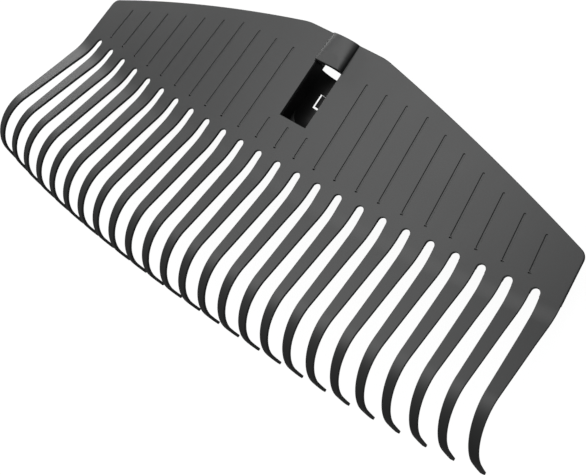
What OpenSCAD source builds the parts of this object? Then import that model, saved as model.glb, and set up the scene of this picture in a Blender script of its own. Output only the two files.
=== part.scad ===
/* [Plate] */
// Distance between neighbouring tines, centre to centre, at the slots
pitch = 24; // [20:0.5:30]
// Number of tines on each side of the middle one
side_tines = 12; // [8:1:12]
// Thickness of the plate and of the tines
wall = 2.8; // [2.4:0.1:4]
// Radius of the backward bow across the width
bow_r = 1500; // [1100:50:3000]
// Height of the straight crown above the middle of the head
crown_y = 85.6; // [82:0.1:110]
// Half length of the straight crown
crown_half = 47; // [34:1:60]
// Height of the two end corners above the middle of the head
shoulder_y = 22.3; // [10:0.1:40]
// How far the end corners lie inside the outer edge of the end tines
shoulder_in = 5.6; // [2:0.1:12]
// Outward swell of each sloping top edge
edge_swell = 2.6; // [0.5:0.1:6]
// Rounding of the end corners
shoulder_round = 9; // [4:1:14]
// Rounding of the crown corners
crown_round = 60; // [20:5:90]

/* [Slots] */
// Distance of the middle of the slot row below the middle of the head
slot_row = 40.6; // [34:0.1:60]
// Rise of the slot row per tine number squared
row_rise = 0.144; // [0.08:0.004:0.16]
// Width of the slots between the tine roots
slot_w = 8; // [5:0.5:10]
// Fan angle between neighbouring tines in the middle, in degrees
fan = 0.54; // [0.2:0.02:0.7]
// Further fan angle of the end tines, in degrees
fan_spread = 1.5; // [0:0.1:2]

/* [Tines] */
// Distance from the top of a slot down to the flex line of a tine
root_drop = 8; // [7:0.5:14]
// Straight length before the first bend, middle tine
lead = 4.6; // [4.4:0.1:9]
// Length of the first bend, which lifts the tine forwards
rise_len = 16.6; // [10:0.1:26]
// Angle of the first bend, middle tine
rise_angle = 12.8; // [8:0.2:20]
// Further angle of the first bend on the end tines
rise_spread = 6.5; // [0:0.5:9]
// Straight length after the first bend
shank_len = 68.7; // [50:0.1:90]
// Length of the second bend, which turns the tine backwards
hook_len = 73.5; // [50:0.1:90]
// Angle of the second bend
hook_angle = 98.2; // [75:0.1:105]
// Length of the tip
tip_len = 19.4; // [10:0.1:28]
// Further turn of the tip
tip_angle = 3.5; // [0:0.5:12]
// Tine width past the first bend
neck_w = 13.1; // [10:0.1:15]
// Tine width at the start of the tip
hook_w = 6.9; // [5:0.1:9]
// Width of the blunt end of a tine
tip_w = 3.8; // [2.5:0.1:5]
// Extra width of the two end tines, as a factor
end_tine = 1.17; // [1:0.01:1.25]
// Radial clearance of the flex line of tines and latch
flex_gap = 0.05; // [0.04:0.01:0.08]
// Greatest bending angle of a tine either way
flex_angle = 12; // [6:1:14]

/* [Ribs] */
// Width of the grooves on the front
groove_w = 2.4; // [1.6:0.1:3.4]
// Depth of the grooves on the front
groove_d = 0.9; // [0.3:0.1:1.2]
// Width of the small dimple below each groove
dimple_w = 3; // [2:0.1:4]
// Height of the small dimple along the groove
dimple_h = 1.3; // [0.8:0.1:2]
// Depth of the small dimple
dimple_d = 1.4; // [0.5:0.1:1.8]
// Width of the stiffening ribs on the back
rib_w = 2.4; // [1.8:0.1:4]
// Height of the stiffening ribs on the back
rib_h = 5; // [3:0.5:8]
// Distance of the lower rib ends above the slot row
rib_low = 9.9; // [6:0.1:16]
// Height of the longest ribs' upper ends above the middle of the head
rib_top = 57.8; // [46:0.1:60]
// Gap between the upper rib ends and the sloping top edge
rib_margin = 11.8; // [8:0.1:16]
// Spread of the ribs per tine number, in degrees
rib_fan = 0.77; // [0.4:0.01:0.9]

/* [Socket] */
// Radius of the handle bore
bore_r = 15.5; // [12:0.5:16]
// Wall thickness of the socket
socket_wall = 3; // [2.4:0.2:4]
// Depth of the bore axis behind the front face
axis_depth = 16; // [15.8:0.2:20]
// Lower edge of the front window
window_low = -3; // [-12:1:2]
// Upper edge of the front window
window_high = 56; // [50:1:62]
// Side clearance between the window and the bore
window_gap = 0.4; // [0.2:0.1:1]
// Gap between the rear shell's rim and the front bridge
rim_gap = 2; // [1:0.5:6]
// How far the front bridge stands proud of the plate
bridge_rise = 6; // [4:0.5:9]
// Squareness of the bridge's section at the window, 2 for an ellipse
bridge_power = 3.8; // [2:0.2:5]
// Rise of the bridge's flat at the window
facet_rise = 5; // [3:0.2:5.6]
// Length of the sloping flat on the bridge
facet_len = 12; // [6:1:18]

/* [Latch] */
// Half width of the latch tongue
latch_half = 12; // [6:0.5:13]
// Width of the slot round the latch tongue
latch_slot = 2.2; // [1.2:0.1:2.4]
// Free end of the latch tongue above the middle of the head
latch_low = 23.2; // [16:0.1:26]
// Length of the latch tongue
latch_len = 12.6; // [10:0.5:18]
// Gap between the root of the tongue and the shell, beside its flex edge
latch_gap = 0.6; // [0.4:0.1:1.2]
// How far the catch stands into the bore
catch_rise = 1.4; // [0.8:0.1:1.8]

/* [Hidden] */
bow_fn = 720;
round_fn = 96;
steps = 24; // stretches along a tine
bridge_steps = 28;
bridge_rows = 6;
lead_fade = 0.028; // shortening of the lead per tine number squared
growth = 0.00034; // lengthening of a tine per tine number squared
hook_fade = 0.1; // shortening of the end tines' second bend, as a share
far = 80;
last = side_tines;
root_w = pitch - slot_w;
half_w = socket_wall + bore_r; // half width of the socket outside
knuckle_r = wall / 2 - 0.1;
seat_r = knuckle_r + flex_gap;
relief = flex_angle + 2; // slope of the relief beside a flex line
function digits(n) = n < 10 ? str("0", n) : str(n);
TINES = [for (n = [1 : 2 * side_tines + 1]) str("tine_", digits(n))];

// The head is drawn about its front face, and placed with the mouth of the socket at the origin
module placed() translate([0, -crown_y, axis_depth]) children();

// Height of the bowed front face at a distance from the middle
function bow(x) = sqrt(bow_r * bow_r - x * x) - bow_r;
function slot_top(i) = -slot_row + row_rise * i * i;
function root_y(i) = slot_top(i) - root_drop;
function outwards(i, power) = pow(abs(i) / last, power);
function turn_of(i) = fan * i + fan_spread * sign(i) * outwards(i, 3);
function is_end(i) = abs(i) == last;
function widen(i) = is_end(i) ? end_tine : 1;
// Sideways shift that keeps the inner edge of an end tine on the slot
function end_shift(i) = is_end(i) ? sign(i) * root_w * (end_tine - 1) / 2 : 0;
function root_x(i) = pitch * i + root_drop * sin(turn_of(i)) + end_shift(i);
function root_at(i) = [root_x(i), root_y(i), bow(root_x(i)) - wall / 2];

// Outline of the plate: corner points with a rounding each, replaced by arcs
edge_x = root_x(last) + root_w * end_tine / 2;
shoulder_x = edge_x - shoulder_in;
top_mid = [(crown_half + shoulder_x) / 2, (crown_y + shoulder_y) / 2];
top_len = norm([shoulder_x - crown_half, shoulder_y - crown_y]);
top_dir = [shoulder_x - crown_half, shoulder_y - crown_y] / top_len;
swell_at = top_mid + 2 * edge_swell * [-top_dir[1], top_dir[0]];
swell_r = 0.9 * top_len * top_len / (8 * edge_swell);
corners = [[crown_half, crown_y, crown_round], [swell_at[0], swell_at[1], swell_r],
    [shoulder_x, shoulder_y, shoulder_round], [edge_x, root_y(last), 0]];
function unit(v) = v / norm(v);
function flat(c) = [c[0], c[1]];
function rounded(a, b, c, r) =
    let (u = unit(flat(a) - flat(b)), w = unit(flat(c) - flat(b)), turn = acos(-u * w))
    let (t = r * tan(turn / 2), m = flat(b) + unit(u + w) * (r / cos(turn / 2)))
    let (from = flat(b) + u * t - m, n = max(2, ceil(turn / 6)) + (r > 200 ? 6 : 0))
    [for (k = [0 : n]) m + [from[0] * cos(turn * k / n) + from[1] * sin(turn * k / n),
        from[1] * cos(turn * k / n) - from[0] * sin(turn * k / n)]];
right_edge = concat(rounded([0, crown_y], corners[0], corners[1], corners[0][2]),
    rounded(corners[0], corners[1], corners[2], corners[1][2]),
    rounded(corners[1], corners[2], corners[3], corners[2][2]), [flat(corners[3])]);
low_edge = [for (i = [last : -0.5 : 0]) [i == last ? edge_x + 1 : pitch * i, root_y(i) - 3]];
half_outline = concat(right_edge, low_edge);
size = len(half_outline);
outline = concat(half_outline, [for (k = [size - 2 : -1 : 0]) [-half_outline[k][0], half_outline[k][1]]]);

// A layer of the bowed sheet between two depths below the front face
module layer(top, bottom) {
    translate([0, 0, -bow_r]) rotate([90, 0, 0]) difference() {
        cylinder(r = bow_r - top, h = 600, center = true, $fn = bow_fn);
        cylinder(r = bow_r - bottom, h = 602, center = true, $fn = bow_fn);
    }
}

// The space of a flex line: the knuckle's seat and the room that the tine swings in
module flex_cut(width) {
    rotate([0, 90, 0]) cylinder(r = seat_r, h = width + 4, center = true, $fn = round_fn);
    for (side = [-1, 1]) rotate([side * relief, 0, 0])
        translate([-width / 2 - 2, -14, -6]) cube([width + 4, 14, 12]);
}

// Moves something from a flex line to the root of tine i, square to the bowed sheet
module at_root(i) {
    translate(root_at(i)) rotate([0, asin(root_x(i) / bow_r), 0]) rotate([0, 0, turn_of(i)]) children();
}

module slot_holes() {
    for (k = [-last + 0.5 : last - 0.5])
        translate([pitch * k, slot_top(k), -far]) rotate([0, 0, turn_of(k)]) {
            translate([0, -slot_w / 2, 0]) cylinder(d = slot_w, h = far + 10, $fn = round_fn);
            translate([-slot_w / 2, -far, 0]) cube([slot_w, far - slot_w / 2, far + 10]);
        }
}

// Straight groove or rib j, in plan, with round ends
function rib_foot(j) = -slot_row + rib_low + row_rise * j * j;
function edge_y(x) = crown_y + (shoulder_y - crown_y) * (abs(x) - crown_half) / (shoulder_x - crown_half)
    + edge_swell;
function rib_head(j) = abs(j) < 2 ? window_low - 6.6 : min(rib_top, edge_y(pitch * j) - rib_margin);
module rib_plan(j, w) {
    long = rib_head(j) - rib_foot(j);
    translate([pitch * j, rib_foot(j)]) rotate(rib_fan * j) {
        translate([-w / 2, w / 2]) square([w, long - w]);
        translate([0, w / 2]) circle(d = w, $fn = 32);
        translate([0, long - w / 2]) circle(d = w, $fn = 32);
    }
}

module dimple_plan(j) {
    translate([pitch * j, rib_foot(j)]) rotate(rib_fan * j) translate([0, -0.8 * dimple_h]) {
        square([dimple_w - dimple_h, dimple_h], center = true);
        for (side = [-1, 1]) translate([side * (dimple_w - dimple_h) / 2, 0])
            circle(d = dimple_h, $fn = 16);
    }
}

module ribs(from, to) {
    color("#4c4d4e") placed() intersection() {
        layer(wall, wall + rib_h);
        union() for (j = [from : to]) translate([0, 0, -far])
            linear_extrude(height = far) rib_plan(j, rib_w);
    }
}

module head_plate() {
    color("#565758") placed() difference() {
        intersection() {
            layer(0, wall);
            translate([0, 0, -far]) linear_extrude(height = far + 10) polygon(outline);
        }
        slot_holes();
        for (i = [-last : last]) at_root(i) flex_cut(root_w * widen(i));
        intersection() {
            layer(-1, groove_d);
            union() for (j = [1 - last : last - 1]) translate([0, 0, -far])
                linear_extrude(height = far + 10) rib_plan(j, groove_w);
        }
        intersection() {
            layer(-1, dimple_d);
            union() for (j = [1 - last : last - 1]) translate([0, 0, -far])
                linear_extrude(height = far + 10) dimple_plan(j);
        }
        translate([-bore_r - window_gap, window_low, -far])
            cube([2 * (bore_r + window_gap), crown_y - window_low + 1, far + 10]);
    }
}

// The bore along the handle axis, from one height to another
module bore_space(from, to) {
    translate([0, from, -axis_depth]) rotate([-90, 0, 0])
        cylinder(r = bore_r, h = to - from, $fn = round_fn);
}

// Front bridge: sections from full and square at the window to a round arch at the crown
bridge_half = bore_r + window_gap;
bridge_len = crown_y - window_high;
facet_slope = atan((bridge_rise - facet_rise) / facet_len);
function section(t) = let (power = bridge_power + (2 - bridge_power) * t, y = window_high + bridge_len * t)
    concat([for (k = [0 : bridge_steps]) let (across = -cos(180 * k / bridge_steps))
        [bridge_half * across, y, bridge_rise * pow(1 - pow(min(abs(across), 1), power), 1 / power)]],
        [[bridge_half, y, -wall - 1], [-bridge_half, y, -wall - 1]]);
module front_bridge() {
    around = bridge_steps + 3;
    points = [for (n = [0 : bridge_rows]) each section(n / bridge_rows)];
    sides = [for (n = [0 : bridge_rows - 1], k = [0 : around - 1])
        let (a = around * n + k, b = around * n + (k + 1) % around)
        each [[a, a + around, b], [b, a + around, b + around]]];
    color("#565758") placed() difference() {
        union() {
            polyhedron(points = points, faces = concat(sides, [[for (k = [0 : around - 1]) k],
                [for (k = [around - 1 : -1 : 0]) around * bridge_rows + k]]));
            translate([-half_w, window_high, -axis_depth])
                cube([2 * half_w, bridge_len, axis_depth + bow(half_w) - wall]);
        }
        bore_space(window_high - 1, crown_y + 1);
        translate([0, window_high, facet_rise]) rotate([facet_slope, 0, 0])
            translate([-far / 2, -1, 0]) cube([far, far, 10]);
    }
}

shell_low = window_low + bore_r;
shell_high = window_high - rim_gap;
latch_high = latch_low + latch_len;
latch_z = -axis_depth - bore_r - socket_wall / 2;

// Sector behind the bore axis, of a half width at the middle of the socket's wall
module wedge(from, to, half) {
    translate([0, from, -axis_depth]) rotate([-90, 0, 0]) linear_extrude(height = to - from)
        polygon([[0, 0], [-half, bore_r + socket_wall / 2] * 3, [half, bore_r + socket_wall / 2] * 3]);
}

// Outside of the shell behind the bore axis, from one height to another
module half_tube(from, to) {
    intersection() {
        translate([0, from, -axis_depth]) rotate([-90, 0, 0])
            cylinder(r = half_w, h = to - from, $fn = round_fn);
        translate([-far, from, -far]) cube([2 * far, to - from, far - axis_depth]);
    }
}

// Square shoulders from the shell up to the plate, from one height to another
module shoulders(from, to) {
    translate([-half_w, from, -axis_depth]) cube([2 * half_w, to - from, axis_depth + bow(half_w) - wall]);
}

module rear_socket() {
    color("#3a3b3c") placed() difference() {
        union() {
            half_tube(shell_low, shell_high);
            shoulders(shell_low, window_high);
        }
        bore_space(shell_low - 1, window_high + 1);
        translate([-bore_r, shell_low - 1, -axis_depth])
            cube([2 * bore_r, window_high - shell_low + 2, axis_depth]);
        wedge(latch_low - latch_slot, latch_high, latch_half + latch_slot);
        translate([0, latch_high, latch_z]) rotate([0, 90, 0])
            cylinder(r = seat_r, h = latch_half / 2 + 1, center = true, $fn = round_fn);
    }
}

// Rounded end of the socket, which stops the handle
module socket_end() {
    color("#3a3b3c") placed() difference() {
        union() {
            intersection() {
                translate([0, shell_low, -axis_depth]) sphere(r = half_w, $fn = round_fn);
                translate([-far, shell_low - far, -far]) cube([2 * far, far, far - axis_depth]);
            }
            translate([-half_w, window_low - socket_wall, -axis_depth - socket_wall])
                cube([2 * half_w, bore_r + socket_wall, axis_depth + socket_wall + bow(half_w) - wall]);
        }
        translate([0, shell_low, -axis_depth]) sphere(r = bore_r, $fn = round_fn);
        translate([-bore_r, window_low, -axis_depth]) cube([2 * bore_r, bore_r + 1, axis_depth]);
    }
}

// Snap tongue in the back of the shell, with a rounded catch and a round flex edge
module latch_tongue() {
    color("#444546") placed() union() {
        intersection() {
            difference() {
                half_tube(latch_low, latch_high - latch_gap);
                bore_space(latch_low - 1, latch_high + 1);
            }
            wedge(latch_low, latch_high - latch_gap, latch_half);
        }
        translate([0, latch_high, latch_z]) rotate([0, 90, 0])
            cylinder(r = knuckle_r, h = latch_half / 2, center = true, $fn = round_fn);
        intersection() {
            translate([0, latch_low + 3, -axis_depth - bore_r - 2 * socket_wall + catch_rise])
                sphere(r = 2 * socket_wall, $fn = round_fn);
            translate([-latch_half / 2, latch_low, latch_z]) cube([latch_half, far, far]);
        }
    }
}

// Turn of a tine at a distance along it: level, up, straight, down and a last turn to the tip
function lead_of(i) = lead - lead_fade * i * i;
function stretches(i) = let (k = 1 + growth * i * i)
    [lead_of(i), rise_len * k, shank_len * k, hook_len * (k - hook_fade * outwards(i, 4)), tip_len * k];
function tine_len(i) = stretches(i) * [1, 1, 1, 1, 1];
function part_of(s, from, long) = min(max((s - from) / long, 0), 1);
function rise_of(i) = rise_angle + rise_spread * outwards(i, 2);
function turn_at(s, i) = let (p = stretches(i))
    rise_of(i) * part_of(s, p[0], p[1]) - hook_angle * part_of(s, p[0] + p[1] + p[2], p[3])
    - tip_angle * part_of(s, p[0] + p[1] + p[2] + p[3], p[4]);
function width_at(s, i) = widen(i) * lookup(s / tine_len(i),
    [[0, root_w], [0.2, neck_w], [0.85, hook_w], [1, tip_w]]);

// Middle line of tine i as distances out and up, one step at a time
function line_of(i) = let (step = tine_len(i) / steps)
    [for (n = 0, at = [0, 0]; n <= steps;
        at = at + step * [cos(turn_at((n + 0.5) * step, i)), sin(turn_at((n + 0.5) * step, i))],
        n = n + 1) at];

// Four corners of the tine's section at step n
function corners_at(n, i, line) =
    let (s = n * tine_len(i) / steps, a = turn_of(i), turn = turn_at(s, i), w = width_at(s, i) / 2)
    let (x = root_x(i) + line[n][0] * sin(a), y = root_y(i) - line[n][0] * cos(a))
    let (z = bow(x) - wall / 2 + line[n][1], slope = -x / sqrt(bow_r * bow_r - x * x))
    let (side = unit([cos(a), sin(a), slope * cos(a)]))
    let (along = unit([sin(a) * cos(turn), -cos(a) * cos(turn), sin(turn) + slope * sin(a) * cos(turn)]))
    let (up = unit(cross(along, side)) * wall / 2, c = [x, y, z])
    [c - side * w + up, c + side * w + up, c + side * w - up, c - side * w - up];

module tine(i) {
    line = line_of(i);
    points = [for (n = [0 : steps]) each corners_at(n, i, line)];
    sides = [for (n = [0 : steps - 1], k = [0 : 3]) let (a = 4 * n + k, b = 4 * n + (k + 1) % 4)
        each [[a, b, a + 4], [b, b + 4, a + 4]]];
    top = 4 * steps;
    color(i % 2 == 0 ? "#535455" : "#4b4c4d") placed() union() {
        polyhedron(points = points, faces = concat(sides,
            [[2, 1, 0], [3, 2, 0], [top, top + 1, top + 2], [top, top + 2, top + 3]]));
        at_root(i) rotate([0, 90, 0])
            cylinder(r = knuckle_r, h = root_w * widen(i) - 0.6, center = true, $fn = round_fn);
    }
}

head_plate();
front_bridge();
rear_socket();
socket_end();
latch_tongue();
ribs(1 - last, -2);  // left_ribs
ribs(2, last - 1);  // right_ribs
ribs(-1, 1);  // middle_ribs
for (n = [0 : 2 * side_tines]) tine(n - last);
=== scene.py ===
import math
import bmesh
import bpy
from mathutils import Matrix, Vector
from mathutils.geometry import delaunay_2d_cdt
from mathutils.kdtree import KDTree
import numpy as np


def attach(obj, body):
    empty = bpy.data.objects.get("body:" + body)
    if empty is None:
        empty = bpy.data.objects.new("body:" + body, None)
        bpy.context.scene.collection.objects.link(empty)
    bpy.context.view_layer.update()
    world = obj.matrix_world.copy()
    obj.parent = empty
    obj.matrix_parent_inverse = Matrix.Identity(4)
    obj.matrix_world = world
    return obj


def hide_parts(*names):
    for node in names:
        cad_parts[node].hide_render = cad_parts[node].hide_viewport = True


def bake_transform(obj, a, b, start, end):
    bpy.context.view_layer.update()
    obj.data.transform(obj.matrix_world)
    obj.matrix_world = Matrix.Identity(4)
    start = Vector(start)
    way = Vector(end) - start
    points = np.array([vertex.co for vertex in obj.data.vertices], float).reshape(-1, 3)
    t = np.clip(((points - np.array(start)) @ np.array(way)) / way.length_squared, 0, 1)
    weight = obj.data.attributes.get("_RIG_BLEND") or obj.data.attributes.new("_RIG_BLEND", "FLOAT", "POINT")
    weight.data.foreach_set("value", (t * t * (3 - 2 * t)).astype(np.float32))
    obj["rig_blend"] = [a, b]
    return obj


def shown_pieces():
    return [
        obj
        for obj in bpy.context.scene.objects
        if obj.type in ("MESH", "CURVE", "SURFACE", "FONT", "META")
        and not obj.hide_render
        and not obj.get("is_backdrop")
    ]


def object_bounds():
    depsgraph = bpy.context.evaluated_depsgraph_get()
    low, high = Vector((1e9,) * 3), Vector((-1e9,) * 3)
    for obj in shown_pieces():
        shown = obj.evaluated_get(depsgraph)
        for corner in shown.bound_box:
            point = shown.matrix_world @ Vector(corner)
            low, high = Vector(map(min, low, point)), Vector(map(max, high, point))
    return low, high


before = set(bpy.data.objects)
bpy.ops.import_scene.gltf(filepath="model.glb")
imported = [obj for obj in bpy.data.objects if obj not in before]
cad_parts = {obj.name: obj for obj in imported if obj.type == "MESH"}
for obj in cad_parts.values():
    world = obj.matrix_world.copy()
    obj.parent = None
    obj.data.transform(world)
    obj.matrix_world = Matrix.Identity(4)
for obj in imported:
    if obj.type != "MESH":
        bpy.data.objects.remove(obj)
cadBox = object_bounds()
mm = 0.001

# Sizes shared by several pieces, in millimetres and degrees, as the CAD has them
head = {"pitch": 24, "last": 12, "wall": 2.8, "bowRadius": 1500, "crownY": 85.6, "axisDepth": 16,
        "slotRow": 40.6, "rowRise": 0.144, "slotWidth": 8, "fan": 0.54, "fanSpread": 1.5, "rootDrop": 8,
        "endTine": 1.17, "seam": 2.0, "edgeRadius": 0.6, "socketHalf": 15.9, "windowHigh": 56,
        "windowLow": -3}
rootWidth = head["pitch"] - head["slotWidth"]


def bow(x):
    return math.sqrt(head["bowRadius"] ** 2 - x * x) - head["bowRadius"]


def slotTop(i):
    return -head["slotRow"] + head["rowRise"] * i * i


# Fan angle of a tine or a slot, in radians
def turnOf(i):
    return math.radians(head["fan"] * i + head["fanSpread"] * (i / head["last"]) ** 3)


def widen(i):
    return head["endTine"] if abs(i) == head["last"] else 1


def rootX(i):
    side = math.copysign(rootWidth * (head["endTine"] - 1) / 2, i) if abs(i) == head["last"] else 0
    return head["pitch"] * i + head["rootDrop"] * math.sin(turnOf(i)) + side


def rootY(i):
    return slotTop(i) - head["rootDrop"]


# From the sketch frame, about the front face, to the row frame in metres
def placed(x, y, z):
    return Vector((x * mm, (y - head["crownY"]) * mm, (z + head["axisDepth"]) * mm))


# Flat point or offset turned by an angle, anticlockwise
def turned(x, y, angle):
    return Vector((x * math.cos(angle) - y * math.sin(angle), x * math.sin(angle) + y * math.cos(angle)))


# Corner of tine i on its seam with the plate, side -1 or 1
def seamCorner(i, side):
    a = turnOf(i)
    half = side * rootWidth * widen(i) / 2
    x = rootX(i) - head["seam"] * math.sin(a) + half * math.cos(a)
    y = rootY(i) + head["seam"] * math.cos(a) + half * math.sin(a)
    return (x, y)


# Adds nodes to a tree with their values or links in one call
class Nodes:
    def __init__(self, tree):
        self.tree = tree

    def add(self, kind, values=None, **settings):
        node = self.tree.nodes.new(kind)
        for name, value in settings.items():
            setattr(node, name, value)
        for key, value in (values or {}).items():
            socket = node.inputs[key]
            if isinstance(value, bpy.types.NodeSocket):
                self.tree.links.new(value, socket)
            else:
                socket.default_value = value
        return node

    def math(self, operation, *values, clamp=False):
        node = self.add("ShaderNodeMath", dict(enumerate(values)), operation=operation)
        node.use_clamp = clamp
        return node.outputs[0]

    def vector(self, operation, *values):
        node = self.add("ShaderNodeVectorMath", dict(enumerate(values)), operation=operation)
        return node.outputs[0]

    def scaled(self, vector, factor):
        return self.add("ShaderNodeVectorMath", {0: vector, "Scale": factor}, operation="SCALE").outputs[0]

    def combine(self, x, y, z):
        return self.add("ShaderNodeCombineXYZ", {0: x, 1: y, 2: z}).outputs[0]

    def noise(self, position, scale, detail, roughness):
        return self.add("ShaderNodeTexNoise", {"Vector": position, "Scale": scale, "Detail": detail,
                                               "Roughness": roughness}).outputs[0]

    def spread(self, value, low, high, toLow=0.0, toHigh=1.0):
        return self.add("ShaderNodeMapRange", {0: value, 1: low, 2: high, 3: toLow, 4: toHigh}).outputs[0]

    # keeps a value on the points under a name
    def noted(self, geometry, name, value, kind):
        return self.add("GeometryNodeStoreNamedAttribute", {
            "Geometry": geometry, "Name": name, "Value": value}, data_type=kind, domain="POINT").outputs[0]

    # moves the points, goes from sketch millimetres to the row frame, and ends the tree
    def finished(self, geometry, position, material, result):
        bent = self.add("GeometryNodeSetPosition", {"Geometry": geometry, "Position": position})
        moved = self.add("GeometryNodeTransform", {
            "Geometry": bent.outputs[0], "Scale": (mm, mm, mm),
            "Translation": (0.0, -head["crownY"] * mm, head["axisDepth"] * mm)})
        real = self.add("GeometryNodeRealizeInstances", {"Geometry": moved.outputs[0]})
        painted = self.add("GeometryNodeSetMaterial", {"Geometry": real.outputs[0], "Material": material})
        self.tree.links.new(painted.outputs[0], result)


def newGroup(name, kind, inputs, outputs):
    tree = bpy.data.node_groups.new(name, kind)
    for label, socketType, value in inputs:
        item = tree.interface.new_socket(label, in_out="INPUT", socket_type=socketType)
        if value is not None:
            item.default_value = value
    for label, socketType in outputs:
        tree.interface.new_socket(label, in_out="OUTPUT", socket_type=socketType)
    kit = Nodes(tree)
    return tree, kit, tree.nodes.new("NodeGroupInput").outputs, tree.nodes.new("NodeGroupOutput").inputs


def useTree(owner, tree, values):
    modifier = owner.modifiers.new(tree.name, "NODES")
    modifier.node_group = tree
    sockets = {item.name: item.identifier for item in tree.interface.items_tree
               if item.item_type == "SOCKET" and item.in_out == "INPUT"}
    for name, value in values.items():
        modifier[sockets[name]] = value


# Moulded plastic: mottled tone, flow streaks, scuffs, and a painted highlight (sheen) that lightens the
# rounded edges
pattern = {"cloud": 22.0, "flow": 95.0, "scuff": 420.0, "grain": 1500.0, "cells": 900.0, "streak": 0.12,
           "toneSwing": 4.0, "roughSwing": 0.9, "grainDepth": 0.00006}


def plasticSkinGroup():
    tree, kit, given, result = newGroup("plasticSkin", "ShaderNodeTree", [
        ("Position", "NodeSocketVector", None), ("Streak Position", "NodeSocketVector", None),
        ("Edge", "NodeSocketFloat", 0.0), ("Tone", "NodeSocketColor", (0.04, 0.04, 0.04, 1)),
        ("Scuff And Sheen Tone", "NodeSocketColor", (0.07, 0.07, 0.07, 1)),
        ("Base Roughness", "NodeSocketFloat", 0.45), ("Mottle", "NodeSocketFloat", 0.12),
        ("Scuffing", "NodeSocketFloat", 0.2)],
        [("Color", "NodeSocketColor"), ("Roughness", "NodeSocketFloat"), ("Height", "NodeSocketFloat")])
    position = given["Position"]
    cloud = kit.noise(position, pattern["cloud"], 3.0, 0.5)
    stretched = kit.vector("MULTIPLY", given["Streak Position"], (1.0, pattern["streak"], 1.0))
    flow = kit.noise(stretched, pattern["flow"], 4.0, 0.6)
    scuff = kit.noise(stretched, pattern["scuff"], 6.0, 0.7)
    grain = kit.noise(position, pattern["grain"], 3.0, 0.6)
    cells = kit.add("ShaderNodeTexVoronoi", {"Vector": position, "Scale": pattern["cells"]},
                    feature="SMOOTH_F1").outputs[0]
    patches = kit.math("ADD", kit.math("MULTIPLY", cloud, 0.7), kit.math("MULTIPLY", flow, 0.3))
    swing = kit.math("MULTIPLY", kit.math("SUBTRACT", patches, 0.5), given["Mottle"])
    value = kit.math("ADD", 1.0, kit.math("MULTIPLY", swing, pattern["toneSwing"]))
    tone = kit.add("ShaderNodeHueSaturation", {"Value": value, "Color": given["Tone"]}).outputs[0]
    marks = kit.math("MULTIPLY", kit.spread(scuff, 0.60, 0.74), kit.spread(cloud, 0.45, 0.65))
    worn = kit.math("MULTIPLY", marks, given["Scuffing"])
    # painted highlight: the rounded edges (the edge attribute) are lightened towards the second tone,
    # standing in for sheen; the scuffs mixed in with it are real wear
    sheenShare = kit.math("MULTIPLY", given["Edge"], kit.spread(flow, 0.35, 0.6, 0.35, 1.0))
    share = kit.math("ADD", worn, kit.math("MULTIPLY", sheenShare, 0.55), clamp=True)
    # the colour sockets of a Mix node, 6 and 7, come after its float and vector ones
    mix = kit.add("ShaderNodeMix", {0: share, 6: tone, 7: given["Scuff And Sheen Tone"]}, data_type="RGBA")
    tree.links.new(mix.outputs[2], result["Color"])
    rough = kit.math("ADD", given["Base Roughness"], kit.math("MULTIPLY", swing, pattern["roughSwing"]))
    rough = kit.math("ADD", rough, kit.math("MULTIPLY", worn, 0.25))
    rough = kit.math("SUBTRACT", rough, kit.math("MULTIPLY", sheenShare, 0.08), clamp=True)
    tree.links.new(rough, result["Roughness"])
    height = kit.math("ADD", kit.math("MULTIPLY", grain, 0.6), kit.math("MULTIPLY", cells, 0.4))
    tree.links.new(kit.math("ADD", height, kit.math("MULTIPLY", flow, 0.8)), result["Height"])
    return tree


skin = plasticSkinGroup()


def plastic(name, finish):
    material = bpy.data.materials.new(name)
    material.use_nodes = True
    tree = material.node_tree
    kit = Nodes(tree)
    shader = tree.nodes["Principled BSDF"]
    coordinates = kit.add("ShaderNodeTexCoord").outputs["Object"]
    edge = kit.add("ShaderNodeAttribute", attribute_name="edge").outputs["Fac"]
    group = tree.nodes.new("ShaderNodeGroup")
    group.node_tree = skin
    tree.links.new(coordinates, group.inputs["Position"])
    streaks = coordinates
    if finish.get("streaks"):
        streaks = kit.add("ShaderNodeAttribute", attribute_name=finish["streaks"]).outputs["Vector"]
    tree.links.new(streaks, group.inputs["Streak Position"])
    tree.links.new(edge, group.inputs["Edge"])
    group.inputs["Tone"].default_value = (*finish["tone"], 1)
    group.inputs["Scuff And Sheen Tone"].default_value = (*finish["scuffAndSheenTone"], 1)
    group.inputs["Base Roughness"].default_value = finish["roughness"]
    group.inputs["Mottle"].default_value = finish["mottle"]
    group.inputs["Scuffing"].default_value = finish["scuffing"]
    bump = kit.add("ShaderNodeBump", {"Strength": finish["grain"], "Distance": pattern["grainDepth"],
                                      "Height": group.outputs["Height"]})
    tree.links.new(group.outputs["Color"], shader.inputs["Base Color"])
    tree.links.new(group.outputs["Roughness"], shader.inputs["Roughness"])
    tree.links.new(bump.outputs[0], shader.inputs["Normal"])
    shader.inputs["IOR"].default_value = finish["ior"]
    return material


# the second, lighter tone of each finish is a painted highlight on the rounded edges, and also the tone of
# the scuffs
platePlastic = plastic("platePlastic", {
    "tone": (0.040, 0.041, 0.041), "scuffAndSheenTone": (0.080, 0.081, 0.082), "roughness": 0.45,
    "mottle": 0.10, "scuffing": 0.25, "grain": 0.35, "ior": 1.5})
tinePlastic = plastic("tinePlastic", {
    "tone": (0.040, 0.041, 0.041), "scuffAndSheenTone": (0.070, 0.072, 0.072), "roughness": 0.45,
    "mottle": 0.10, "scuffing": 0.25, "grain": 0.35, "ior": 1.5, "streaks": "alongTine"})
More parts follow.
